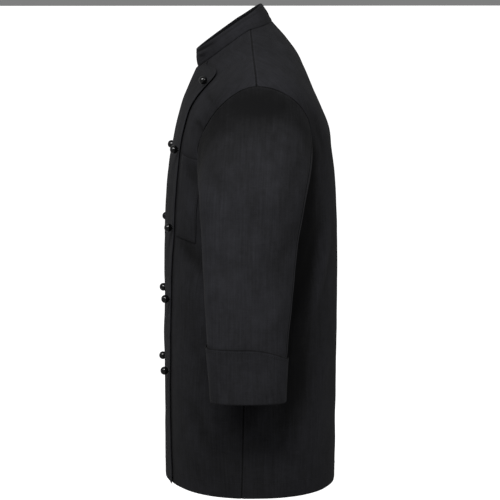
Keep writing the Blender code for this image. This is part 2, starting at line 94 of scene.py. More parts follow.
freeEdge = dict(rows=(0.0, 2.0, 3.2, 5.0, 6.6, 8.0), reach=(9.0, 9.8, 10.9, 11.2, 13.5, 4.6))


# Surfaces.
def smoothColumn(values, t):
    t = np.asarray(t, float)
    ends = ([2 * values[0] - values[1]], values, [2 * values[-1] - values[-2]])
    padded = np.concatenate(ends)
    i = np.clip(np.floor(t).astype(int), 0, len(values) - 2)
    u = t - i
    p0, p1, p2, p3 = (padded[i + k] for k in range(4))
    m1 = (p2 - p0) / 2
    m2 = (p3 - p1) / 2
    return ((2 * u**3 - 3 * u**2 + 1) * p1 + (u**3 - 2 * u**2 + u) * m1
            + (3 * u**2 - 2 * u**3) * p2 + (u**3 - u**2) * m2)


def tableRing(table, t):
    ring = {}
    for k, name in enumerate(table["columns"]):
        scale = 1.0 if name.startswith("square") else cm
        ring[name] = smoothColumn([row[k] for row in table["rings"]], t) * scale
    return ring


def signedPower(value, power):
    return np.copysign(np.abs(value) ** power, value)


def ringPoint(ring, phi):    # phi is 0 at centre front and 90 degrees at the wearer's left
    c = np.cos(phi)
    s = np.sin(phi)
    forward = c >= 0
    depth = np.where(forward, ring["front"], ring["back"])
    square = np.where(forward, ring["squareFront"], ring["squareBack"])
    zEnd = np.where(forward, ring["zFront"], ring["zBack"])
    x = ring["halfWidth"] * signedPower(s, 2 / square)
    y = ring["centreY"] - depth * signedPower(c, 2 / square)
    z = ring["zSide"] + (zEnd - ring["zSide"]) * np.abs(c) ** ring["squareFall"]
    return np.stack(np.broadcast_arrays(x, y, z), axis=-1)


def bodyRing(t):
    return tableRing(bodyTable, t)


def bodyPoint(phi, t):
    return ringPoint(bodyRing(t), phi)


def unit(vectors):
    return vectors / np.maximum(np.linalg.norm(vectors, axis=-1, keepdims=True), 1e-12)


def runAlong(points):    # length from the first point to each one
    steps = np.linalg.norm(np.diff(points, axis=0), axis=1)
    return np.concatenate(((0.0,), np.cumsum(steps)))


def bodyNormal(phi, t):
    d = 1e-3
    along = bodyPoint(phi + d, t) - bodyPoint(phi - d, t)
    above = bodyPoint(phi, np.minimum(t + 4 * d, jacket["neck"]))
    up = above - bodyPoint(phi, np.maximum(t - 4 * d, 0.0))
    return unit(np.cross(along, up))


def phiAtX(ring, x):
    share = np.minimum(np.abs(x) / ring["halfWidth"], 1.0)
    return np.copysign(np.arcsin(share ** (ring["squareFront"] / 2)), x)


def phiAtY(ring, y, side):
    dy = ring["centreY"] - y
    ahead = np.arccos(np.clip(dy / ring["front"], 0, 1) ** (ring["squareFront"] / 2))
    behind = math.pi - np.arccos(np.clip(-dy / ring["back"], 0, 1) ** (ring["squareBack"] / 2))
    return side * np.where(dy >= 0, ahead, behind)


def smoothStep(value, low, high):
    u = np.clip((value - low) / (high - low), 0.0, 1.0)
    return u * u * (3 - 2 * u)


def armholeReach(share, widthAndWidest):
    width, widest = widthAndWidest
    u = np.minimum(np.abs(share - widest) / np.where(share > widest, 1 - widest, widest), 1.0)
    return width * cm * np.sqrt(1 - u * u)


def armholeShare(angle, widest):
    c = np.cos(angle)
    return np.where(c > 0, widest + (1 - widest) * c, widest + widest * c)


def sidePhi(t, side, front):
    ring = bodyRing(t)
    low, high = (y * cm for y in jacket["sideSeamY"])
    seam = low + (high - low) * np.minimum(t / jacket["underarm"], 1.0)
    share = np.clip((t - jacket["underarm"]) / (jacket["tip"] - jacket["underarm"]), 0.0, 1.0)
    middle = high + (ring["centreY"] - high) * share
    reach = armholeReach(share, jacket["armholeFront" if front else "armholeBack"]) * (-1 if front else 1)
    return phiAtY(ring, np.where(t <= jacket["underarm"], seam, middle + reach), side)


def freeEdgeX(t):
    rows, reach = freeEdge["rows"], freeEdge["reach"]
    x = np.full(np.shape(t), float(reach[-1]))
    for k in reversed(range(len(rows) - 1)):
        part = reach[k] + (reach[k + 1] - reach[k]) * smoothStep(t, rows[k], rows[k + 1])
        x = np.where(t <= rows[k + 1], part, x)
    return x * cm


def overLift(x, t):    # how far the upper front lies outside the body's surface
    edge = freeEdgeX(t)
    layer = (jacket["cloth"] + jacket["seamGap"]) * smoothStep(x, -edge - 3 * cm, -edge - 0.4 * cm)
    curl = jacket["edgeLift"] * smoothStep(x, edge - jacket["edgeLiftWidth"], edge)
    return layer + curl * smoothStep(jacket["neck"] - t, 0.0, 1.0)


# Creases. Each runs between two places given as (degrees round from the front, height in cm);
# width in cm, rise in mm (a trough is below zero), bow in cm, lean makes one side steeper.
def crease(start, end, width, rise, bow=0.0, lean=0.0, ends=0.5):
    return dict(start=start, end=end, width=width, rise=rise, bow=bow, lean=lean, ends=ends)


bodyCreases = [
    # wearer's left front
    crease((38, -14.6), (54, -17.2), 0.4, -3.6, bow=0.8),
    crease((36, -13.2), (52, -15.6), 0.7, 2.4, bow=0.9),
    crease((43, -9.8), (60, -11.8), 0.5, -2.4, bow=0.3),
    crease((38, -17.5), (50, -20.0), 1.0, 1.6, bow=0.3),
    crease((32, -12.0), (44, -19.5), 1.5, 1.8, bow=-0.5),
    crease((35, -21.6), (56, -25.6), 1.3, -3.4, bow=0.3, lean=0.2),
    crease((33, -25.0), (60, -31.0), 1.7, 2.4, bow=-0.3),
    crease((31, -33.2), (64, -40.0), 1.5, -4.6, bow=0.4, lean=0.3),
    crease((36, -38.6), (66, -47.0), 2.4, 2.8, bow=0.4),
    crease((44, -47.0), (68, -58.0), 2.2, -1.8, bow=0.5),
    crease((38, -60.0), (59, -70.0), 1.3, 2.2, bow=-0.5, lean=0.2),
    crease((46, -58.0), (70, -72.0), 1.8, -2.4, bow=0.4),
    # wearer's right front
    crease((-47, -14.8), (-58, -17.9), 0.5, -2.8, bow=-0.6),
    crease((-36, -22.4), (-58, -27.0), 1.4, -3.0, bow=-0.4, lean=-0.2),
    crease((-33, -32.0), (-66, -40.5), 1.7, -4.0, bow=-0.5),
    crease((-38, -38.0), (-68, -48.5), 2.4, 2.6, bow=-0.4),
    crease((-30, -60.0), (-54, -71.0), 1.6, 2.0, bow=0.5),
    # middle of the front
    crease((-6, -27.0), (14, -36.0), 2.6, -1.6, bow=0.8),
    crease((10, -47.0), (-14, -57.0), 2.8, 1.5, bow=-0.7),
    # back
    crease((146, -30.0), (112, -50.0), 1.7, 5.0, bow=0.6, lean=-0.3),
    crease((136, -26.0), (103, -47.0), 2.0, -5.6, bow=0.5),
    crease((120, -48.0), (106, -66.0), 2.4, -3.4, bow=0.4),
    crease((142, -50.0), (128, -72.0), 2.4, 2.6, bow=-0.5),
    crease((214, -29.0), (246, -48.0), 1.9, 4.2, bow=-0.6, lean=0.3),
    crease((224, -26.0), (256, -44.0), 2.2, -4.6, bow=-0.5),
    crease((214, -52.0), (222, -72.0), 2.8, 2.4, bow=0.5),
    crease((176, -44.0), (186, -70.0), 3.0, -2.0, bow=0.6),
    crease((150, -17.0), (196, -20.0), 2.0, -1.6, bow=-0.7),
    crease((128, -12.0), (140, -22.0), 1.4, -2.2, bow=0.4),
    crease((232, -12.5), (222, -22.0), 1.4, -2.0, bow=-0.4),
]
sleeveCreases = [
    crease((6, -24.0), (4, -48.5), 0.5, 0.6),
    crease((-70, -14.0), (-92, -25.0), 1.6, -4.0, bow=0.3),
    crease((-36, -11.2), (42, -11.8), 1.6, -3.6, bow=-0.4),
    crease((-60, -20.0), (-30, -26.0), 1.6, -1.4, bow=0.4),
    crease((-58, -33.0), (-20, -38.5), 1.5, -1.5, bow=0.5),
    crease((-62, -37.5), (-18, -43.0), 1.4, 1.2, bow=0.4),
    crease((66, -30.0), (24, -38.0), 1.7, -1.7, bow=-0.5),
    crease((72, -38.0), (30, -46.0), 1.6, 1.3, bow=-0.4),
    crease((58, -18.0), (30, -29.0), 1.9, -1.6, bow=-0.5),
    crease((150, -30.0), (190, -37.0), 1.8, -1.8, bow=0.5),
    crease((196, -38.0), (150, -45.0), 1.7, 1.4, bow=-0.4),
    crease((-64, -51.5), (-30, -56.4), 0.5, -1.3, bow=0.2),
    crease((-68, -50.0), (-46, -53.6), 0.5, 1.1, bow=0.2),
    crease((30, -50.5), (60, -55.4), 0.7, -1.2, bow=0.3),
    crease((-18, -51.5), (10, -53.0), 0.6, -0.8, bow=0.3),
]


def creaseHeight(creases, degrees, z, radius):
    total = np.zeros(np.shape(z))
    for c in creases:
        a = np.array((math.radians(c["start"][0]) * radius, c["start"][1] * cm))
        b = np.array((math.radians(c["end"][0]) * radius, c["end"][1] * cm))
        run = b - a
        size = np.linalg.norm(run)
        along = run / size
        turned = (degrees - c["start"][0] + 180.0) % 360.0 - 180.0
        px = np.radians(turned) * radius
        pz = z - a[1]
        w = (px * along[0] + pz * along[1]) / size
        d = -px * along[1] + pz * along[0] - c["bow"] * cm * np.sin(math.pi * np.clip(w, 0, 1))
        width = c["width"] * cm * (1 + c["lean"] * np.sign(d))
        fade = smoothStep(w, -0.12, c["ends"]) * smoothStep(1 - w, -0.12, c["ends"])
        total = total + c["rise"] * mm * np.exp(-(d / width) ** 2) * fade
    return total


def slowWaves(a, b, c, size):    # uneven lie of the cloth, a few sines that never line up
    f = 2 * math.pi / size
    return (np.sin(f * (a + 0.31 * b) + 1.3 * np.sin(0.61 * f * c)) * np.sin(f * (0.83 * c - 0.4 * a) + 0.7)
            + 0.6 * np.sin(f * (1.7 * b - 0.9 * c) + 1.1 * np.sin(f * 0.7 * a)))


def paintedFoldShading(creases, degrees, z, radius):    # painted shade in the troughs, painted highlight on the ridges
    height = creaseHeight(creases, degrees, z, radius) / mm
    return np.where(height < 0, 0.070, 0.036) * height


paintedShadowSettings = dict(    # painted shadows on the skirt under each cuff and in the hollow behind each sleeve; degrees round from the front, mirrored for the other side; heights low to high
    skirtAngle=97.0, skirtWidth=16.0, skirtDepth=0.07, skirtFades=(-64 * cm, -56 * cm),
    hollowAngle=118.0, hollowWidth=11.0, hollowDepth=0.42, hollowStarts=(-66 * cm, -48 * cm),
    hollowEnds=(-20 * cm, -12 * cm), drift=8.0, driftFalls=(20 * cm, 56 * cm),
)


def paintedBodyShading(phi, t):    # painted shadow on the skirt under each cuff, painted shade in the hollow that follows each sleeve's back edge down, and the painted fold shading
    s = paintedShadowSettings
    z = bodyPoint(phi, t)[..., 2]
    degrees = np.degrees(phi) % 360.0
    low = 1 - smoothStep(z, *s["skirtFades"])
    place = s["hollowAngle"] - s["drift"] * smoothStep(-z, *s["driftFalls"])
    beside = 0.0
    behind = 0.0
    for angle in (degrees, 360.0 - degrees):
        beside = beside + np.exp(-((angle - s["skirtAngle"]) / s["skirtWidth"]) ** 2)
        behind = behind + np.exp(-((angle - place) / s["hollowWidth"]) ** 4)
    under = smoothStep(z, *s["hollowStarts"]) * (1 - smoothStep(z, *s["hollowEnds"]))
    folds = paintedFoldShading(bodyCreases, np.degrees(phi), z, 0.175)
    return folds - s["skirtDepth"] * low * beside - s["hollowDepth"] * behind * under


def bodyCloth(phi, t, lift=0.0):
    base = bodyPoint(phi, t)
    height = creaseHeight(bodyCreases, np.degrees(phi), base[..., 2], 0.175)
    height = height + 0.35 * mm * slowWaves(base[..., 0], base[..., 1], base[..., 2], 0.085)
    calm = smoothStep(jacket["neck"] - t, 0.0, 0.5)    # the neckline holds the cloth still
    return base + bodyNormal(phi, t) * (lift + height * calm)[..., None]


# Grids of points, and shells built from them.
closeSteps = np.array((0.0, 0.6, 1.4, 2.5, 4.2)) * mm
closeEnd = 6.5 * mm


def stops(length, count, startClose, endClose):
    first = closeEnd if startClose else 0.0
    last = length - (closeEnd if endClose else 0.0)
    places = [closeSteps] if startClose else []
    places.append(np.linspace(first, last, count + 1))
    if endClose:
        places.append(length - closeSteps[::-1])
    return np.concatenate(places)


def lineAlong(phi, t, count, startClose, endClose, trimStart=0.0, trimEnd=0.0):
    points = bodyPoint(phi, t)
    run = runAlong(points)
    places = stops(run[-1] - trimStart - trimEnd, count, startClose, endClose) + trimStart
    return np.interp(places, run, phi), np.interp(places, run, t)


def fanLine(row, start, end, count, turn):    # rows fan out to part the armhole's edge evenly
    middle, edge = row
    fine = np.linspace(0.0, 1.0, 161)
    reach = {1: fine, -1: 1 - fine, 0: np.abs(2 * fine - 1)}[turn]
    levels = middle + (edge - middle) * reach ** 1.3
    angles = start + (end - start) * fine
    trim = 0.1 * mm
    return lineAlong(angles, levels, count, turn < 1, turn > -1,
                     trim if turn < 1 else 0.0, trim if turn > -1 else 0.0)


def lapLine(t, count, startClose, endClose):
    edge = float(phiAtX(bodyRing(t), freeEdgeX(t)))
    fine = np.linspace(-edge, edge, 161)
    return lineAlong(fine, np.full(161, t), count, startClose, endClose)


def bodyRows(widest):
    hem = closeSteps / (15.1 * cm)
    skirt = np.linspace(closeEnd / (15.1 * cm), jacket["underarm"], 112)[:-1]
    rows = [(t, t) for t in np.concatenate((hem, skirt))]
    for angle in np.linspace(math.pi, 0.0, 55):
        share = float(armholeShare(angle, widest))
        middle = 4.0 + 2.0 * (1 - angle / math.pi)
        rows.append((middle, 4.0 + 2.0 * share))
    top = np.concatenate((np.linspace(6.0, 8.0 - closeEnd / (8.5 * cm), 32)[1:],
                          8.0 - closeSteps[::-1] / (8.5 * cm)))
    return rows + [(t, t) for t in top]


def panelAngles(rows, lineOf):
    lines = [lineOf(row) for row in rows]
    return np.array([line[0] for line in lines]), np.array([line[1] for line in lines])


def gridNormals(points, closed=False):
    if closed:
        along = np.roll(points, -1, axis=1) - np.roll(points, 1, axis=1)
    else:
        along = np.gradient(points, axis=1)
    return unit(np.cross(along, np.gradient(points, axis=0)))


def gridRuns(points):    # lengths along the rows and up the columns
    across = np.zeros(points.shape[:2])
    upward = np.zeros(points.shape[:2])
    across[:, 1:] = np.cumsum(np.linalg.norm(np.diff(points, axis=1), axis=2), axis=1)
    upward[1:] = np.cumsum(np.linalg.norm(np.diff(points, axis=0), axis=2), axis=0)
    return across, upward


def sideRuns(points):    # how far each point lies from each side
    across, upward = gridRuns(points)
    return dict(start=across, end=across[:, -1:] - across, bottom=upward, top=upward[-1:] - upward)


def edgeDistance(points, sides):
    runs = sideRuns(points)
    nearest = np.full(points.shape[:2], 1.0)
    for side in sides:
        nearest = np.minimum(nearest, runs[side])
    return nearest


def rollSeams(points, sides, depth=1.2 * mm, width=3.0 * mm, closed=False):    # the cloth dips into its seams
    away = np.clip(1 - edgeDistance(points, sides) / width, 0.0, 1.0)
    return points - gridNormals(points, closed) * (depth * away ** 2)[..., None]


def stitchDistance(points, lines):
    runs = sideRuns(points)
    nearest = np.full(points.shape[:2], 1.0)
    for side, inset in lines:
        nearest = np.minimum(nearest, np.abs(runs[side] - inset))
    return nearest


def newMesh(name, verts, faces, material, smooth=True):
    mesh = bpy.data.meshes.new(name)
    mesh.from_pydata([tuple(v) for v in verts], [], faces)
    if material is not None:
        mesh.materials.append(material)
    if smooth:
        mesh.shade_smooth()
    obj = bpy.data.objects.new(name, mesh)
    bpy.context.collection.objects.link(obj)
    return obj


def clothShell(name, points, material, closed=False, thick=None, seams=(), stitches=(),
               grainTurn=0.0, shade=0.0):
    rows, cols = points.shape[:2]
    thick = jacket["cloth"] * 0.9 if thick is None else thick
    thick = np.broadcast_to(np.asarray(thick, float), (rows, cols))
    normals = gridNormals(points, closed)
    inner = points - normals * thick[..., None]
    verts = [points.reshape(-1, 3), inner.reshape(-1, 3)]
    count = rows * cols
    faces = []
    spans = cols if closed else cols - 1
    for i in range(rows - 1):
        for j in range(spans):
            a, b = i * cols + j, i * cols + (j + 1) % cols
            c, d = b + cols, a + cols
            faces.append((a, b, c, d))
            faces.append((count + a, count + d, count + c, count + b))
    if closed:
        loops = [[(0, j) for j in range(cols)], [(rows - 1, j) for j in reversed(range(cols))]]
    else:
        loops = [[(0, j) for j in range(cols - 1)] + [(i, cols - 1) for i in range(rows - 1)]
                 + [(rows - 1, j) for j in range(cols - 1, 0, -1)] + [(i, 0) for i in range(rows - 1, 0, -1)]]
    total = 2 * count
    rimOf = []
    for loop in loops:
        rim = []
        for i, j in loop:
            out = np.zeros(3)
            if i == 0:
                out = out + unit(points[0, j] - points[1, j])
            if i == rows - 1:
                out = out + unit(points[-1, j] - points[-2, j])
            if not closed and j == 0:
                out = out + unit(points[i, 0] - points[i, 1])
            if not closed and j == cols - 1:
                out = out + unit(points[i, -1] - points[i, -2])
            rim.append((points[i, j] + inner[i, j]) / 2 + unit(out) * thick[i, j] * 0.5)
        verts.append(np.array(rim))
        ids = [i * cols + j for i, j in loop]
        rimOf += ids
        for k in range(len(loop)):
            n = (k + 1) % len(loop)
            a, b, ra, rb = ids[k], ids[n], total + k, total + n
            faces.append((b, a, ra, rb))
            faces.append((rb, ra, count + a, count + b))
        total += len(loop)
    obj = newMesh(name, np.concatenate(verts), faces, material)
    across, upward = gridRuns(points)
    across = across - across[:, cols // 2][:, None]
    turn = math.radians(grainTurn)
    grain = np.stack((across * math.cos(turn) - upward * math.sin(turn),
                      across * math.sin(turn) + upward * math.cos(turn)), axis=-1)
    seam = edgeDistance(points, seams)
    stitch = stitchDistance(points, stitches)
    order = np.concatenate((np.arange(count), np.arange(count), np.array(rimOf)))
    mesh = obj.data
    # shade carries the painted light and shade for each point, added to the tone in the material
    shade = np.broadcast_to(np.asarray(shade, float), (rows, cols))
    for label, values in (("seam", seam), ("stitch", stitch), ("shade", shade)):
        layer = mesh.attributes.new(label, "FLOAT", "POINT")
        layer.data.foreach_set("value", values.reshape(-1)[order].astype(np.float32))
    uv = mesh.uv_layers.new(name="grain")
    corner = np.zeros(len(mesh.loops), dtype=np.int32)
    mesh.loops.foreach_get("vertex_index", corner)
    uv.data.foreach_set("uv", grain.reshape(-1, 2)[order][corner].astype(np.float32).reshape(-1))
    return obj


def sheetArea(points):
    a = np.cross(points[:-1, 1:] - points[:-1, :-1], points[1:, :-1] - points[:-1, :-1])
    b = np.cross(points[1:, :-1] - points[1:, 1:], points[:-1, 1:] - points[1:, 1:])
    return float((np.linalg.norm(a, axis=2) + np.linalg.norm(b, axis=2)).sum() / 2)


# Stitches, each a short raised thread.
thread = dict(length=2.6 * mm, pitch=3.4 * mm, radius=0.34 * mm)


def insetPath(points, side, inset, trim=(0.0, 0.0), closed=False):
    # a line on the cloth at a distance from one of its sides, with the cloth's normal
    normals = gridNormals(points, closed)
    runs = sideRuns(points)[side]
    source, sourceNormals = points, normals
    if side in ("bottom", "top"):
        runs = runs.T
        source, sourceNormals = points.transpose(1, 0, 2), normals.transpose(1, 0, 2)
    path = []
    outward = []
    for line, normal, run in zip(source, sourceNormals, runs):
        order = np.argsort(run)
        path.append([np.interp(inset, run[order], line[order, k]) for k in range(3)])
        outward.append([np.interp(inset, run[order], normal[order, k]) for k in range(3)])
    path = np.array(path)
    outward = unit(np.array(outward))
    length = runAlong(path)
    kept = (length >= trim[0]) & (length <= length[-1] - trim[1])
    return path[kept], outward[kept]


def stitchRuns(name, paths, material):
    verts = []
    faces = []
    for path, outward in paths:
        length = runAlong(path)
        count = int(length[-1] // thread["pitch"])
        for k in range(count):
            start = k * thread["pitch"] + 0.3 * mm
            at = start + thread["length"] * np.array((0.0, 0.22, 0.78, 1.0))
            p = np.stack([np.interp(at, length, path[:, m]) for m in range(3)], axis=1)
            n = unit(np.stack([np.interp(at, length, outward[:, m]) for m in range(3)], axis=1))
            tangent = unit(p[3] - p[0])
            base = len(verts)
            side = unit(np.cross(n[1], tangent))
            r = thread["radius"]
            verts.append(p[0] - n[0] * 0.15 * mm)
            for m in (1, 2):
                verts += [p[m] + side * r, p[m] + n[m] * r * 0.9, p[m] - side * r, p[m] - n[m] * r * 0.7]
            verts.append(p[3] - n[3] * 0.15 * mm)
            for m in range(4):
                o = (m + 1) % 4
                faces.append((base, base + 1 + m, base + 1 + o))
                faces.append((base + 1 + m, base + 5 + m, base + 5 + o, base + 1 + o))
                faces.append((base + 9, base + 5 + o, base + 5 + m))
    return newMesh(name, verts, faces, material)


# Materials.
class Value:    # a socket whose arithmetic adds Math nodes
    def __init__(self, maker, socket):
        self.maker = maker
        self.socket = socket

    def math(self, operation, first, second):
        return self.maker.node("ShaderNodeMath", dict(operation=operation), {0: first, 1: second})

    def __add__(self, other):
        return self.math("ADD", self, other)

    def __sub__(self, other):
        return self.math("SUBTRACT", self, other)

    def __rsub__(self, other):
        return self.math("SUBTRACT", other, self)

    def __mul__(self, other):
        return self.math("MULTIPLY", self, other)

    def __truediv__(self, other):
        return self.math("DIVIDE", self, other)

    def __pow__(self, other):
        return self.math("POWER", self, other)

    __radd__ = __add__
    __rmul__ = __mul__


class Finish:    # one material and its nodes
    def __init__(self, name, **fixed):
        self.material = bpy.data.materials.new(name)
        self.material.use_nodes = True
        self.tree = self.material.node_tree
        self.shader = self.tree.nodes["Principled BSDF"]
        for key, value in fixed.items():
            self.shader.inputs[key.replace("_", " ")].default_value = value

    def node(self, kind, settings, inputs, out=0):
        made = self.tree.nodes.new(kind)
        for key, value in settings.items():
            if key == "stops":
                ramp = made.color_ramp
                while len(ramp.elements) < len(value):
                    ramp.elements.new(0.5)
                for element, (place, shade) in zip(ramp.elements, value):
                    element.position = place
                    element.color = (*shade, 1.0)
            else:
                setattr(made, key, value)
        for key, value in inputs.items():
            if isinstance(value, Value):
                self.tree.links.new(value.socket, made.inputs[key])
            else:
                made.inputs[key].default_value = value
        return Value(self, made.outputs[out])

    def feed(self, socket, value):
        self.tree.links.new(value.socket, self.shader.inputs[socket])

    def attribute(self, name):
        return self.node("ShaderNodeAttribute", dict(attribute_name=name), {}, out="Fac")

    def ease(self, value, low, high, start=0.0, end=1.0):
        return self.node("ShaderNodeMapRange", dict(interpolation_type="SMOOTHSTEP"),
                         {"Value": value, "From Min": low, "From Max": high, "To Min": start, "To Max": end})

    def noise(self, where, scale, detail=2.0, roughness=0.5):
        return self.node("ShaderNodeTexNoise", {}, {"Vector": where, "Scale": scale, "Detail": detail,
                                                    "Roughness": roughness})

    def stretched(self, where, sizes, turn=0.0):
        return self.node("ShaderNodeMapping", {}, {"Vector": where, "Scale": sizes, "Rotation": (0, 0, turn)})


twillLook = dict(
    darkYarn=(0.0096, 0.0096, 0.0106),
    lightYarn=(0.0226, 0.0228, 0.0268),
    ribsPerMetre=1150.0,
    ribTurn=math.radians(63),
    streak=0.24,        # how much the long yarns vary from one to the next
    fade=0.26,          # broad, slow change of shade
    mottle=0.34,        # cloudy patches a centimetre or two across
    roughness=0.92,
    sheen=0.02,
    weaveHeight=0.22 * mm,
    seamDarkness=0.32,
)


def makeTwill(name, shade=1.0, grain=1.0):
    look = twillLook
    f = Finish(name, Sheen_Weight=look["sheen"], Sheen_Roughness=0.45, Specular_IOR_Level=0.16)
    uv = f.node("ShaderNodeUVMap", dict(uv_map="grain"), {})
    place = f.node("ShaderNodeTexCoord", {}, {}, out="Object")
    ribs = f.node("ShaderNodeTexWave", dict(wave_type="BANDS", bands_direction="X"),
                  {"Vector": f.stretched(uv, (1, 1, 1), look["ribTurn"]),
                   "Scale": 2 * math.pi * look["ribsPerMetre"] / 20.0,
                   "Distortion": 0.6, "Detail": 1.0, "Detail Scale": 6.0})
    yarns = f.noise(f.stretched(uv, (1500.0, 130.0, 1.0)), 1.0, 2.0)
    streaks = f.noise(f.stretched(uv, (330.0, 14.0, 1.0)), 1.0, 3.0, 0.6)
    picks = f.noise(f.stretched(uv, (60.0, 700.0, 1.0)), 1.0, 2.0)
    slow = f.noise(place, 9.0, 2.0)
    mottle = f.noise(place, 55.0, 3.0, 0.65)
    seam = f.attribute("seam")
    stitch = f.attribute("stitch")
    inSeam = f.ease(seam, 0.0, 2.6 * mm, 1.0, 0.0)
    # a paler band 1.2 to 4.2 mm beside each seam
    seamSideBand = f.ease(seam, 1.2 * mm, 2.4 * mm, 0.0, 1.0) * f.ease(seam, 2.4 * mm, 4.2 * mm, 1.0, 0.0)
    nearStitch = f.ease(stitch, 0.2 * mm, 2.0 * mm, 1.0, 0.0)
    weave = 0.55 * ribs + 0.45 * yarns
    tone = (weave - 0.5) * 0.55 * grain + 0.5 + (streaks - 0.5) * look["streak"] * 2.2 * grain \
        + (picks - 0.5) * 0.25 * grain + (slow - 0.5) * look["fade"] * 1.8 + (mottle - 0.5) * look["mottle"]
    # the shade attribute adds the painted light and shade to the tone
    tone = tone + seamSideBand * 0.10 - inSeam * look["seamDarkness"] - nearStitch * 0.10 + f.attribute("shade")
    # shade scales every yarn colour of this copy: painted light
    dark = tuple(c * shade for c in look["darkYarn"])
    light = tuple(c * shade for c in look["lightYarn"])
    color = f.node("ShaderNodeValToRGB", dict(stops=((0.0, tuple(0.35 * c for c in dark)), (0.30, dark),
                                                     (0.72, light), (1.0, tuple(1.5 * c for c in light)))),
                   {"Fac": tone})
    f.feed("Base Color", color)
    f.feed("Roughness", look["roughness"] + 0.10 * (weave - 0.5) + 0.06 * (slow - 0.5) + 0.04 * inSeam)
    height = weave + 0.35 * streaks - 1.6 * nearStitch
    bump = f.node("ShaderNodeBump", {}, {"Strength": 0.55, "Distance": look["weaveHeight"], "Height": height},
                  out="Normal")
    f.feed("Normal", bump)
    return f.material


def makeThread(name):
    f = Finish(name, Sheen_Weight=0.03, Specular_IOR_Level=0.2)
    place = f.node("ShaderNodeTexCoord", {}, {}, out="Object")
    twist = f.noise(f.stretched(place, (900.0, 900.0, 500.0), 0.5), 1.0, 1.0)
    shades = ((0.25, (0.006, 0.006, 0.0066)), (0.8, (0.019, 0.019, 0.021)))
    color = f.node("ShaderNodeValToRGB", dict(stops=shades), {"Fac": twist})
    f.feed("Base Color", color)
    f.feed("Roughness", 0.5 + 0.2 * twist)
    f.feed("Normal", f.node("ShaderNodeBump", {}, {"Strength": 0.4, "Distance": 0.1 * mm, "Height": twist},
                            out="Normal"))
    return f.material


def makeBall(name):
    f = Finish(name, Specular_IOR_Level=0.45, Coat_Weight=0.35, Coat_Roughness=0.03)
    place = f.node("ShaderNodeTexCoord", {}, {}, out="Object")
    cloud = f.noise(place, 220.0, 3.0)
    wear = f.noise(f.stretched(place, (700.0, 500.0, 900.0)), 1.0, 4.0, 0.7)
    shades = ((0.2, (0.0012, 0.0012, 0.0013)), (0.9, (0.0040, 0.0040, 0.0043)))
    color = f.node("ShaderNodeValToRGB", dict(stops=shades), {"Fac": cloud})
    f.feed("Base Color", color)
    f.feed("Roughness", 0.03 + 0.06 * wear + 0.03 * cloud)
    f.feed("Normal", f.node("ShaderNodeBump", {}, {"Strength": 0.12, "Distance": 0.08 * mm, "Height": cloud},
                            out="Normal"))
    return f.material


# The sleeve, collar, cuff and pocket copies of the one black twill are painted lighter than the body: painted
# light.
bodyTwill = makeTwill("blackTwillBody")
sleeveTwillPaintedLighter = makeTwill("blackTwillSleevePaintedLighter", shade=1.40, grain=0.75)
collarTwillPaintedLighter = makeTwill("blackTwillCollarPaintedLighter", shade=1.12, grain=0.8)
cuffTwillPaintedLighter = makeTwill("blackTwillCuffPaintedLighter", shade=1.25, grain=0.85)
pocketTwillPaintedLighter = makeTwill("blackTwillPocketPaintedLighter", shade=1.02)
threadFinish = makeThread("blackThread")
ballFinish = makeBall("blackPolishedBall")
print("materials made")


# Fronts.
frontSet = dict(sideColumns=34, lapColumns=62, hiddenColumns=32, edgeStitch=5.5 * mm, hemStitch=2.4 * cm)
frontRows = bodyRows(jacket["armholeFront"][1])


def overLine(row):
    fan = fanLine(row, float(sidePhi(row[1], -1, True)), float(-phiAtX(bodyRing(row[0]), freeEdgeX(row[0]))),
                  frontSet["sideColumns"], -1)
    lap = lapLine(row[0], frontSet["lapColumns"], False, True)
    return np.concatenate((fan[0][:-1], lap[0])), np.concatenate((fan[1][:-1], lap[1]))


def underLine(row):
    lap = lapLine(row[0], frontSet["hiddenColumns"], True, False)
    fan = fanLine(row, float(phiAtX(bodyRing(row[0]), freeEdgeX(row[0]))), float(sidePhi(row[1], 1, True)),
                  frontSet["sideColumns"], 1)
    return np.concatenate((lap[0][:-1], fan[0])), np.concatenate((lap[1][:-1], fan[1]))


overPhi, overT = panelAngles(frontRows, overLine)
overX = bodyPoint(overPhi, overT)[..., 0]
overPoints = bodyCloth(overPhi, overT, overLift(overX, overT))
lapDrop = 2.2 * mm * smoothStep(overX, -7 * cm, -4 * cm)    # its top edge clears the collar where it laps
upTop = smoothStep(overT, 7.86, 8.0)[..., None]
overPoints = overPoints - np.array((0, 0, 1)) * (lapDrop[..., None] * upTop)
overPoints = rollSeams(overPoints, ("start",))
underPhi, underT = panelAngles(frontRows, underLine)
underPoints = rollSeams(bodyCloth(underPhi, underT), ("end",))
# painted highlight along the upper front's free edge, where its fold catches the light
paintedEdgeHighlight = 0.26 * (1 - smoothStep(edgeDistance(overPoints, ("end",)), 1.5 * mm, 6.0 * mm)) \
    * (1 - smoothStep(overT, 5.8, 6.6))
frontOver = clothShell("frontOver", overPoints, bodyTwill, seams=("start",),
                       shade=paintedBodyShading(overPhi, overT) + paintedEdgeHighlight,
                       stitches=(("end", frontSet["edgeStitch"]), ("bottom", frontSet["hemStitch"])))
frontUnder = clothShell("frontUnder", underPoints, bodyTwill, seams=("end",),
                        shade=paintedBodyShading(underPhi, underT),
                        stitches=(("start", frontSet["edgeStitch"]), ("bottom", frontSet["hemStitch"])))
print("fronts built", round(sheetArea(overPoints), 4), round(sheetArea(underPoints), 4))

# Back.
backSet = dict(columns=118, hemStitch=2.4 * cm)


def backLine(row):
    left = float(sidePhi(row[1], 1, False))
    right = 2 * math.pi + float(sidePhi(row[1], -1, False))
    return fanLine(row, left, right, backSet["columns"], 0)


backPhi, backT = panelAngles(bodyRows(jacket["armholeBack"][1]), backLine)
backPoints = rollSeams(bodyCloth(backPhi, backT), ("start", "end"))
backPanel = clothShell("backPanel", backPoints, bodyTwill, seams=("start", "end"),
                       shade=paintedBodyShading(backPhi, backT), stitches=(("bottom", backSet["hemStitch"]),))
print("back built", round(sheetArea(backPoints), 4))

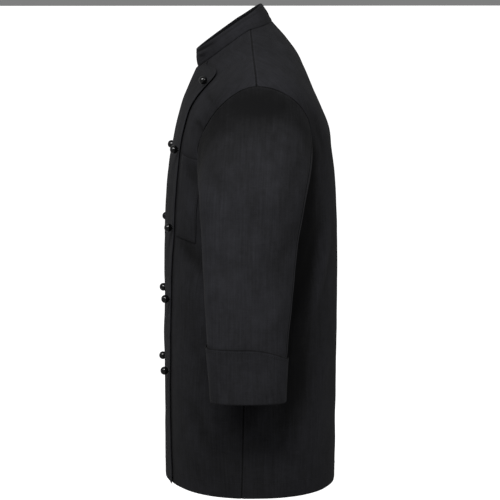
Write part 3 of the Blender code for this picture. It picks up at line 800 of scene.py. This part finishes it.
# Collar.
collarSet = dict(top=dict(halfWidth=6.75 * cm, centreY=-1.3 * cm, front=7.3 * cm, back=3.45 * cm,
                          zFront=-3.5 * cm, zSide=1.6 * cm, zBack=3.9 * cm,
                          squareFront=2.0, squareBack=2.2, squareFall=1.0),
                 corner=1.1 * cm, bulge=1.2 * mm, gap=0.8 * mm, seamGap=0.5 * mm, cloth=2.2 * mm, columns=150,
                 rows=18, stitch=4.5 * mm, creaseHeight=4.2 * cm)
collarCreases = [    # (share along from the left end, share of the height), width and rise in mm
    dict(start=(0.015, 0.84), end=(0.165, 0.66), width=2.6, rise=-2.8, bow=1.5),
    dict(start=(0.030, 0.64), end=(0.130, 0.46), width=3.2, rise=1.8, bow=1.0),
    dict(start=(0.045, 0.46), end=(0.100, 0.34), width=2.0, rise=-1.8, bow=-0.6),
    dict(start=(0.050, 0.22), end=(0.110, 0.26), width=1.8, rise=-1.5, bow=0.4),
    dict(start=(0.010, 0.30), end=(0.035, 0.10), width=3.0, rise=-1.2, bow=0.0),
    dict(start=(0.985, 0.78), end=(0.860, 0.58), width=3.4, rise=-1.6, bow=-1.2),
    dict(start=(0.970, 0.50), end=(0.900, 0.36), width=2.4, rise=-0.9, bow=0.6),
    dict(start=(0.400, 0.25), end=(0.600, 0.30), width=4.0, rise=-0.7, bow=0.8),
    dict(start=(0.300, 0.65), end=(0.240, 0.25), width=4.0, rise=0.6, bow=0.0),
    dict(start=(0.720, 0.60), end=(0.770, 0.20), width=4.0, rise=0.6, bow=0.0),
]


def collarPoints():
    s = collarSet
    neck = bodyRing(jacket["neck"])
    start = float(phiAtX(neck, s["gap"]))
    fine = np.linspace(start, 2 * math.pi - start, 721)
    points = ringPoint(neck, fine)
    run = runAlong(points)
    near = np.array((0, 0.35, 0.8, 1.5, 2.4, 3.5, 4.8, 6.2, 7.8, 9.4)) * mm
    middle = np.linspace(s["corner"], run[-1] - s["corner"], s["columns"])
    places = np.concatenate((near, middle, run[-1] - near[::-1]))
    phi = np.interp(places, run, fine)
    low = ringPoint(neck, phi)
    high = ringPoint(s["top"], phi)
    rise = high - low
    height = np.linalg.norm(rise, axis=-1)
    short = np.maximum(s["corner"] - np.minimum(places, run[-1] - places), 0.0)
    cut = s["corner"] - np.sqrt(s["corner"] ** 2 - short ** 2)
    full = height - cut - s["seamGap"]
    along = ringPoint(neck, phi + 1e-3) - ringPoint(neck, phi - 1e-3)
    normal = unit(np.cross(along, rise))
    share = np.concatenate((np.linspace(0, 1, s["rows"])[:-1], np.array((0.965, 0.985, 1.0))))[:, None]
    across = (places / run[-1])[None, :]
    bend = s["bulge"] * np.sin(math.pi * share) * np.ones_like(across)
    for c in collarCreases:
        a = np.array((c["start"][0] * run[-1], c["start"][1] * s["creaseHeight"]))
        b = np.array((c["end"][0] * run[-1], c["end"][1] * s["creaseHeight"]))
        size = np.linalg.norm(b - a)
        d = (b - a) / size
        px = across * run[-1] - a[0]
        pz = share * s["creaseHeight"] - a[1]
        w = (px * d[0] + pz * d[1]) / size
        off = -px * d[1] + pz * d[0] - c["bow"] * mm * np.sin(math.pi * np.clip(w, 0, 1))
        fade = smoothStep(w, -0.15, 0.4) * smoothStep(1 - w, -0.15, 0.4)
        bend = bend + c["rise"] * mm * np.exp(-(off / (c["width"] * mm)) ** 2) * fade
    reach = full[None, :] * share + s["seamGap"]
    # painted shade in the collar's troughs, painted highlight on its ridges
    folds = bend / mm - s["bulge"] / mm * np.sin(math.pi * share)
    return (low[None] + (rise / height[:, None])[None] * reach[..., None] + normal[None] * bend[..., None],
            np.where(folds < 0, 0.09, 0.03) * folds)


collarGrid, collarPaintedFoldShading = collarPoints()
collarNormals = gridNormals(collarGrid)
belowRoll = np.clip(1 - edgeDistance(collarGrid, ("bottom",)) / (3 * mm), 0, 1)
collarGrid = collarGrid - collarNormals * (0.6 * mm * belowRoll ** 2)[..., None]
collarBand = clothShell("collarBand", collarGrid, collarTwillPaintedLighter, thick=collarSet["cloth"], grainTurn=90.0,
                        seams=("start", "end"), shade=collarPaintedFoldShading,
                        stitches=[(side, collarSet["stitch"]) for side in ("start", "end", "top")])
print("collar built", round(sheetArea(collarGrid), 4))

# Sleeves.
sleeveSet = dict(tension=1.15, slopeTop=math.radians(66), slopeBottom=math.radians(78), spread=0.15,
                 backSeam=math.radians(72), frontSeam=math.radians(-125), upperColumns=76, underColumns=58)


def armholePoint(angle):
    front = angle < 0
    shareFront = armholeShare(np.abs(angle), jacket["armholeFront"][1])
    shareBack = armholeShare(np.abs(angle), jacket["armholeBack"][1])
    tFront = 4.0 + 2.0 * shareFront
    tBack = 4.0 + 2.0 * shareBack
    a = bodyPoint(sidePhi(tFront, 1, True), tFront)
    b = bodyPoint(sidePhi(tBack, 1, False), tBack)
    return np.where(front[..., None], a, b)


def armRingPoint(t, angle):
    ring = tableRing(armTable, t)
    x = ring["centreX"] + ring["halfWidth"] * signedPower(np.cos(angle), 2 / ring["square"])
    y = ring["centreY"] + ring["halfDepth"] * signedPower(np.sin(angle), 2 / ring["square"])
    return np.stack(np.broadcast_arrays(x, y, ring["z"]), axis=-1)


def sleevePoint(angle, v):    # v from 0 to 1 is the cap; above 1 it runs down the arm
    s = sleeveSet
    arm = armRingPoint(np.maximum(v - 1, 0.0), angle)
    start = armholePoint(angle)
    end = armRingPoint(np.zeros_like(angle), angle)
    low = (1 - np.cos(angle)) / 2
    slope = s["slopeTop"] + (s["slopeBottom"] - s["slopeTop"]) * low
    leave = unit(np.stack((np.cos(slope), s["spread"] * np.sin(angle), -np.sin(slope)), axis=-1))
    chord = (np.linalg.norm(end - start, axis=-1) * s["tension"])[..., None]
    start = start + leave * jacket["seamGap"] * 0.4
    arrive = unit(armRingPoint(np.full_like(angle, 0.05), angle) - end)
    u = np.clip(v, 0.0, 1.0)[..., None]
    cap = ((2 * u**3 - 3 * u**2 + 1) * start + (u**3 - 2 * u**2 + u) * leave * chord
           + (3 * u**2 - 2 * u**3) * end + (u**3 - u**2) * arrive * chord)
    return np.where((v >= 1)[..., None], arm, cap)


def sleeveNormal(angle, v):
    d = 2e-3
    along = sleevePoint(angle + d, v) - sleevePoint(angle - d, v)
    down = sleevePoint(angle, np.minimum(v + d, 6.0)) - sleevePoint(angle, np.maximum(v - d, 0.0))
    return unit(np.cross(down, along))


def sleeveCloth(angle, v, out=0.0, mirror=False):
    base = sleevePoint(angle, v)
    drop, shift = (6 * mm, 5 * cm) if mirror else (0.0, 0.0)    # so the two sleeves' folds differ
    height = creaseHeight(sleeveCreases, np.degrees(angle), base[..., 2] - drop, 0.07)
    height = height + 0.3 * mm * slowWaves(base[..., 0] + shift, base[..., 1], base[..., 2], 0.07)
    height = height * smoothStep(v, 0.02, 0.25)
    points = base + sleeveNormal(angle, v) * (height + out)[..., None]
    return points * np.array((-1, 1, 1)) if mirror else points


def paintedSleeveShading(grid, angles):    # painted shade, deepest just under the shoulder where the cloth turns in from the seam, plus the painted fold shading
    across, upward = gridRuns(grid)
    below = upward[-1:] - upward
    top = np.cos((np.abs(angles) / 1.6).clip(0, 1) * math.pi / 2) ** 0.6
    fold = paintedFoldShading(sleeveCreases, np.degrees(angles)[None, :], grid[..., 2], 0.07)
    paintedHeadShade = 0.28 * (1 - smoothStep(below, 2.6 * cm, 8.0 * cm))
    paintedHeadShade = paintedHeadShade + 0.17 * (1 - smoothStep(below, 6 * cm, 19 * cm))
    return fold - paintedHeadShade * top[None, :]


def sleeveGrid(start, end, columns, mirror):
    cap = np.concatenate((np.array((0.0, 0.012, 0.03, 0.055, 0.09)), np.linspace(0.13, 1.0, 30)[:-1]))
    perRow = 8.2 * cm
    arm = np.linspace(1.0, 6.0 - closeEnd / perRow, 72)
    levels = np.concatenate((cap, arm, 6.0 - closeSteps[::-1] / perRow))
    fine = np.linspace(start, end, 181)
    ring = armRingPoint(np.zeros_like(fine), fine)
    run = runAlong(ring)
    angles = np.interp(stops(run[-1] - 0.2 * mm, columns, True, True) + 0.1 * mm, run, fine)
    angles = (angles + math.pi) % (2 * math.pi) - math.pi
    grid = sleeveCloth(np.broadcast_to(angles, (len(levels), len(angles))),
                       np.broadcast_to(levels[:, None], (len(levels), len(angles))), np.zeros(1), mirror)[::-1]
    if mirror:
        grid, angles = grid[:, ::-1], angles[::-1]
    return rollSeams(grid, ("start", "end", "top"), depth=1.0 * mm), angles


sleevePieces = {}
for sideName, mirror in (("Left", False), ("Right", True)):
    for part, start, end, columns in (
            ("Upper", sleeveSet["frontSeam"], sleeveSet["backSeam"], sleeveSet["upperColumns"]),
            ("Under", sleeveSet["backSeam"], sleeveSet["frontSeam"] + 2 * math.pi, sleeveSet["underColumns"])):
        grid, angles = sleeveGrid(start, end, columns, mirror)
        name = "sleeve" + sideName + part
        sleevePieces[name] = clothShell(name, grid, sleeveTwillPaintedLighter, seams=("start", "end", "top"),
                                        shade=paintedSleeveShading(grid, angles))
        print(name, "built", round(sheetArea(grid), 4))

# Turned-up cuffs.
cuffSet = dict(height=8.4 * cm, fallBack=2.0 * cm, step=jacket["cloth"] + 0.6 * mm, columns=112, rows=24,
               flare=0.9 * mm, stitch=5.0 * mm)


def cuffGrid(mirror):
    s = cuffSet
    perRow = 8.2 * cm
    angle = math.pi * (2 * np.arange(1, s["columns"] + 1) / s["columns"] - 1)
    height = s["height"] - s["fallBack"] * np.maximum(np.sin(angle), 0.0) ** 1.5
    share = np.concatenate((np.linspace(0, 1, s["rows"])[:-1], np.array((0.972, 0.985, 0.994, 1.0))))
    angles, shares = np.meshgrid(angle, share)
    v = 6.0 - height[None, :] * shares / perRow
    out = s["step"] + s["flare"] * shares ** 3 + 0.35 * mm * np.sin(3 * angles + 1.0) * shares
    outer = sleeveCloth(angles, v, out, mirror)
    normal = sleeveNormal(angles[:1], v[:1]) * (np.array((-1, 1, 1)) if mirror else 1.0)
    edge = outer[0]
    turn = []
    radius = (s["step"] + jacket["cloth"] * 1.1) / 2
    for theta in np.linspace(math.pi, 0.0, 9)[:-1]:    # the fold goes under the sleeve's end
        lift = radius * (math.cos(theta) - 1)
        drop = radius * math.sin(theta) + 1.1 * mm * (theta < 3.1)
        turn.append(edge + normal[0] * lift - np.array((0, 0, 1)) * drop)
    turn[0] = turn[0] + np.array((0, 0, 1)) * 2.0 * mm
    grid = np.concatenate((np.array(turn), outer))
    return grid[:, ::-1] if mirror else grid


cuffGrids = {"cuffLeft": cuffGrid(False), "cuffRight": cuffGrid(True)}
cuffPieces = {}
for name, grid in cuffGrids.items():
    cuffPieces[name] = clothShell(name, grid, cuffTwillPaintedLighter, closed=True, thick=1.0 * mm, grainTurn=0.0,
                                  seams=("top",), stitches=(("top", cuffSet["stitch"]),))
print("cuffs built", round(sheetArea(cuffGrids["cuffLeft"]), 4))

# Breast pocket, on the wearer's left.
pocketSet = dict(width=5.9 * cm, height=13.3 * cm, fromEdge=0.9 * cm, top=-19.7 * cm, slope=0.7 * cm,
                 gap=0.35 * mm, columns=34, rows=58, stitch=2.0 * mm, mouthStitch=1.4 * cm)


def pocketGrid():
    s = pocketSet
    ts = np.linspace(2.6, 5.6, 90)
    place = np.linspace(0.0, 1.0, 140)
    edge = phiAtX(bodyRing(ts), freeEdgeX(ts))
    phis = edge[:, None] + place[None, :] * math.radians(50)
    points = bodyPoint(phis, ts[:, None])
    across = gridRuns(points)[0]
    shares = stops(s["width"], s["columns"], True, True) / s["width"]
    phi = np.zeros((s["rows"], len(shares)))
    t = np.zeros_like(phi)
    rise = stops(s["height"], s["rows"] - 11, True, True) / s["height"]
    for j, share in enumerate(shares):
        along = s["fromEdge"] + share * s["width"]
        column = np.array([np.interp(along, across[i], phis[i]) for i in range(len(ts))])
        z = bodyPoint(column, ts)[..., 2]
        target = s["top"] - s["slope"] * share - s["height"] * (1 - rise)
        t[:, j] = np.interp(target, z, ts)
        phi[:, j] = np.interp(t[:, j], ts, column)
    u = shares[None, :] * s["width"]
    w = rise[:, None] * s["height"]
    rim = np.minimum(np.minimum(u, s["width"] - u), w)
    lift = s["gap"] + jacket["cloth"] + 0.7 * mm * smoothStep(rim, 0.002, 0.012) * smoothStep(w, 0, s["height"]) \
        + 1.4 * mm * smoothStep(w, s["height"] * 0.8, s["height"]) * smoothStep(rim, 0.0, 0.02)
    return bodyCloth(phi, t, lift), paintedBodyShading(phi, t)


# the pocket carries the body's painted shade and fold shading
pocketPoints, pocketPaintedShading = pocketGrid()
pocketLines = [(side, pocketSet["stitch"]) for side in ("start", "end", "bottom")]
pocketLines.append(("top", pocketSet["mouthStitch"]))
breastPocket = clothShell("breastPocket", pocketPoints, pocketTwillPaintedLighter, seams=("top",), shade=pocketPaintedShading,
                          stitches=pocketLines)
print("pocket built", round(sheetArea(pocketPoints), 4))

# Ball buttons.
buttonSet = dict(radius=6.75 * mm, neck=2.5 * mm, neckHeight=0.7 * mm, inset=0.4 * cm,
                 left=(-8.8, -19.4, -31.9, -43.6, -55.4), right=(-8.9, -20.0, -32.1, -44.1, -55.8),
                 segments=40, bands=26)


def buttonFoot(side, height):
    low, high = 0.0, jacket["neck"]
    for _ in range(40):
        t = (low + high) / 2
        phi = phiAtX(bodyRing(t), side * (freeEdgeX(t) - buttonSet["inset"]))
        if bodyPoint(phi, t)[2] < height:
            low = t
        else:
            high = t
    lift = overLift(side * (freeEdgeX(t) - buttonSet["inset"]), t)
    return bodyCloth(np.array(phi), np.array(t), np.array(lift)), bodyNormal(np.array(phi), np.array(t))


def makeButton(name, foot, normal):
    s = buttonSet
    join = math.asin(s["neck"] / s["radius"])
    centre = s["neckHeight"] + s["radius"] * math.cos(join)
    profile = [(s["neck"] * 0.2, -0.2 * mm), (s["neck"] * 1.25, -0.2 * mm), (s["neck"] * 1.3, 0.25 * mm),
               (s["neck"] * 0.95, 0.6 * mm), (s["neck"] * 0.9, s["neckHeight"] * 0.9)]
    for k in range(s["bands"]):
        turn = join + (math.pi - join) * k / s["bands"]
        groove = 1 - 0.018 * math.exp(-((turn - 1.45) / 0.035) ** 2)    # mould line round the ball
        flat = 1 - 0.03 * smoothStep(turn, 2.2, math.pi)
        away = s["radius"] * groove
        profile.append((away * math.sin(turn), centre - away * math.cos(turn) * flat))
    side = unit(np.cross(normal, (0.0, 0.0, 1.0)))
    other = np.cross(normal, side)
    n = s["segments"]
    verts = []
    for r, height in profile:
        for k in range(n):
            a = 2 * math.pi * k / n
            verts.append(foot + normal * height + (side * math.cos(a) + other * math.sin(a)) * r)
    verts.append(foot + normal * (centre + s["radius"] * 0.97))
    tip = len(verts) - 1
    faces = [tuple(reversed(range(n)))]
    for i in range(len(profile) - 1):
        for k in range(n):
            a = i * n
            faces.append((a + k, a + (k + 1) % n, a + n + (k + 1) % n, a + n + k))
    a = (len(profile) - 1) * n
    for k in range(n):
        faces.append((a + k, a + (k + 1) % n, tip))
    return newMesh(name, verts, faces, ballFinish)


ballPieces = {}
for sideName, side in (("left", 1), ("right", -1)):
    for number, height in enumerate(buttonSet[sideName], start=1):
        foot, normal = buttonFoot(side, height * cm)
        place = "%s_%d" % (sideName, number)
        ballPieces[place] = makeButton("ball_" + place, foot + normal * 0.3 * mm, normal)
print("buttons built")

# Topstitching.
def stitched(name, points, lines, closed=False):
    paths = [insetPath(points, *line, closed=closed) for line in lines]
    return stitchRuns("stitches" + name, paths, threadFinish)


hemLine = ("bottom", frontSet["hemStitch"])
collarLines = (("top", collarSet["stitch"], (0.006, 0.006)), ("start", collarSet["stitch"], (0.0, 0.004)),
               ("end", collarSet["stitch"], (0.0, 0.004)))
cuffLine = ("top", cuffSet["stitch"])
stitchPieces = dict(
    frontOver=stitched("FrontOver", overPoints, (("end", frontSet["edgeStitch"]), hemLine)),
    frontUnder=stitched("FrontUnder", underPoints, (hemLine,)),
    backPanel=stitched("Back", backPoints, (("bottom", backSet["hemStitch"]),)),
    collarBand=stitched("Collar", collarGrid, collarLines),
    breastPocket=stitched("Pocket", pocketPoints, pocketLines),
    cuffLeft=stitched("CuffLeft", cuffGrids["cuffLeft"], (cuffLine,), closed=True),
    cuffRight=stitched("CuffRight", cuffGrids["cuffRight"], (cuffLine,), closed=True),
)
print("stitches laid")

# What each piece stands for.
stands = [
    (frontOver, "front_right", "cloth_body"), (frontUnder, "front_left", "cloth_body"),
    (backPanel, "back", "cloth_body"),
    (collarBand, "collar", "cloth_collar"), (breastPocket, "pocket_breast", "cloth_pocket"),
    (cuffPieces["cuffLeft"], "cuff_left", "cloth_cuff"), (cuffPieces["cuffRight"], "cuff_right", "cloth_cuff"),
    (sleevePieces["sleeveLeftUpper"], "sleeve_left_upper", "cloth_sleeve"),
    (sleevePieces["sleeveLeftUnder"], "sleeve_left_under", "cloth_sleeve"),
    (sleevePieces["sleeveRightUpper"], "sleeve_right_upper", "cloth_sleeve"),
    (sleevePieces["sleeveRightUnder"], "sleeve_right_under", "cloth_sleeve"),
]
stands += [(ball, "button_" + name, "button") for name, ball in ballPieces.items()]
for piece, node, slot in stands:
    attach(piece, "root")
    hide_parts(node)
for name, piece in stitchPieces.items():
    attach(piece, "root")

# Floor, lights and camera.
studio = dict(floorDrop=0.22, floorSize=160.0, world=0.21)
lights = dict(    # place in metres, side of the square, watts
    keyLight=((2.0, -0.3, 1.4), 0.5, 25.0),
    frontLight=((1.5, -1.2, 1.1), 0.9, 18.0),
    backLight=((1.6, 1.3, 0.6), 0.9, 7.5),
)
target = Vector((0.0, 0.0025, -0.368))


def softLight(name, place, size, power):
    data = bpy.data.lights.new(name, "AREA")
    data.shape = "RECTANGLE"
    data.size = size
    data.size_y = size
    data.energy = power
    lamp = bpy.data.objects.new(name, data)
    lamp.location = place
    lamp.rotation_euler = (target - lamp.location).to_track_quat("-Z", "Y").to_euler()
    bpy.context.collection.objects.link(lamp)


half = studio["floorSize"] / 2
floorZ = cadLow.z - studio["floorDrop"]
corners = [(-half, -half, floorZ), (half, -half, floorZ), (half, half, floorZ), (-half, half, floorZ)]
floor = newMesh("paleFloor", corners, [(0, 1, 2, 3)], None, smooth=False)
pale = Finish("palePaint", Roughness=0.9, Emission_Strength=1.0)
grainOfFloor = pale.noise(pale.node("ShaderNodeTexCoord", {}, {}, out="Object"), 3.0, 2.0)
paleStops = ((0.0, (0.90, 0.90, 0.90)), (1.0, (0.93, 0.93, 0.93)))
paleColor = pale.node("ShaderNodeValToRGB", dict(stops=paleStops), {"Fac": grainOfFloor})
pale.feed("Base Color", paleColor)
pale.feed("Emission Color", paleColor)
floor.data.materials.clear()
floor.data.materials.append(pale.material)
floor.visible_diffuse = False    # a white floor this near would light the hem from below
floor.visible_glossy = False

world = bpy.data.worlds.new("softWhite")
bpy.context.scene.world = world
world.use_nodes = True
world.node_tree.nodes["Background"].inputs["Color"].default_value = (1.0, 1.0, 1.0, 1.0)
world.node_tree.nodes["Background"].inputs["Strength"].default_value = studio["world"]
for name, (place, size, power) in lights.items():
    softLight(name, place, size, power)
bpy.context.scene.view_settings.view_transform = "Standard"

lens = dict(azimuth=math.radians(86.75), elevation=math.radians(6.5), distance=4.0, length=173.49)
towards = Vector((math.sin(lens["azimuth"]) * math.cos(lens["elevation"]),
                  -math.cos(lens["azimuth"]) * math.cos(lens["elevation"]), math.sin(lens["elevation"])))
camera = bpy.data.objects.new("camera", bpy.data.cameras.new("camera"))
camera.data.lens = lens["length"]
camera.data.sensor_width = 36.0
camera.data.clip_end = 300.0
camera.location = target + towards * lens["distance"]
camera.rotation_euler = (-towards).to_track_quat("-Z", "Y").to_euler()
bpy.context.collection.objects.link(camera)
bpy.context.scene.camera = camera
print("lights and camera set")
